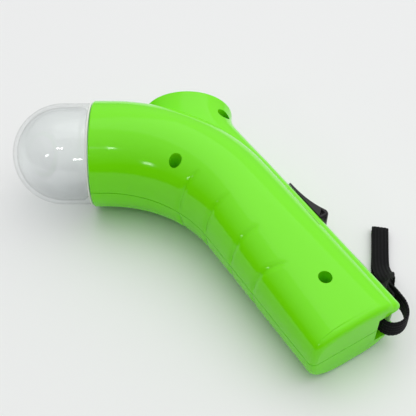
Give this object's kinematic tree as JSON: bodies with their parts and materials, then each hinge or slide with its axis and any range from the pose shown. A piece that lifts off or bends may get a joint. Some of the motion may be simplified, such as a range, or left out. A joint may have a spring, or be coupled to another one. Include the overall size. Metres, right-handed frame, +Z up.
{
  "type": "dog treat launcher",
  "caption": "Elbow-shaped hand launcher for dog treats: a clear dome hopper, an oval muzzle, a spring striker drawn back by a thumb slide, and a wrist strap at the butt.",
  "frame": {"origin": "centre of the bottom of the launcher's box as it lies on a table, wrist strap left out", "axes": "+Z up from the table, +X from the dome's tip toward the strap's corner, +Y out of the muzzle; the handle runs toward +X and -Y"},
  "size_m": [0.1549, 0.124, 0.044],
  "materials": {
    "lime_shell": "glossy lime green moulded plastic",
    "clear_dome": "clear moulded plastic",
    "white_inner": "white moulded plastic",
    "black_slide": "black moulded plastic",
    "soft_rubber": "white soft rubber",
    "steel": "bright drawn spring steel",
    "oxide_steel": "black-oxide steel",
    "black_webbing": "black woven nylon webbing"
  },
  "bodies": {
    "body": {"upper_shell": "lime_shell", "lower_shell": "lime_shell", "muzzle_plate": "lime_shell", "hopper_funnel": "white_inner", "launch_tube": "white_inner", "main_spring": "steel", "spring_cap": "black_slide", "elbow_screw": "oxide_steel", "muzzle_screw": "oxide_steel", "handle_screw": "oxide_steel", "wrist_strap": "black_webbing"},
    "dome": {"treat_dome": "clear_dome", "dome_gasket": "soft_rubber"},
    "slide": {"thumb_slide": "black_slide", "slide_carriage": "black_slide", "striker": "white_inner", "striker_pad": "soft_rubber"}
  },
  "joints": [
    {"name": "thumb_pull", "type": "slide", "parent": "body", "child": "slide", "axis": [0.5284, -0.8447, -0.0852], "range_m": [0, 0.02], "stiffness_N_per_m": 300, "springref_m": -0.01, "deforming": ["main_spring"]},
    {"name": "dome_pull", "type": "slide", "parent": "body", "child": "dome", "axis": [-1, 0, 0], "range_m": [0, 0.045]}
  ]
}
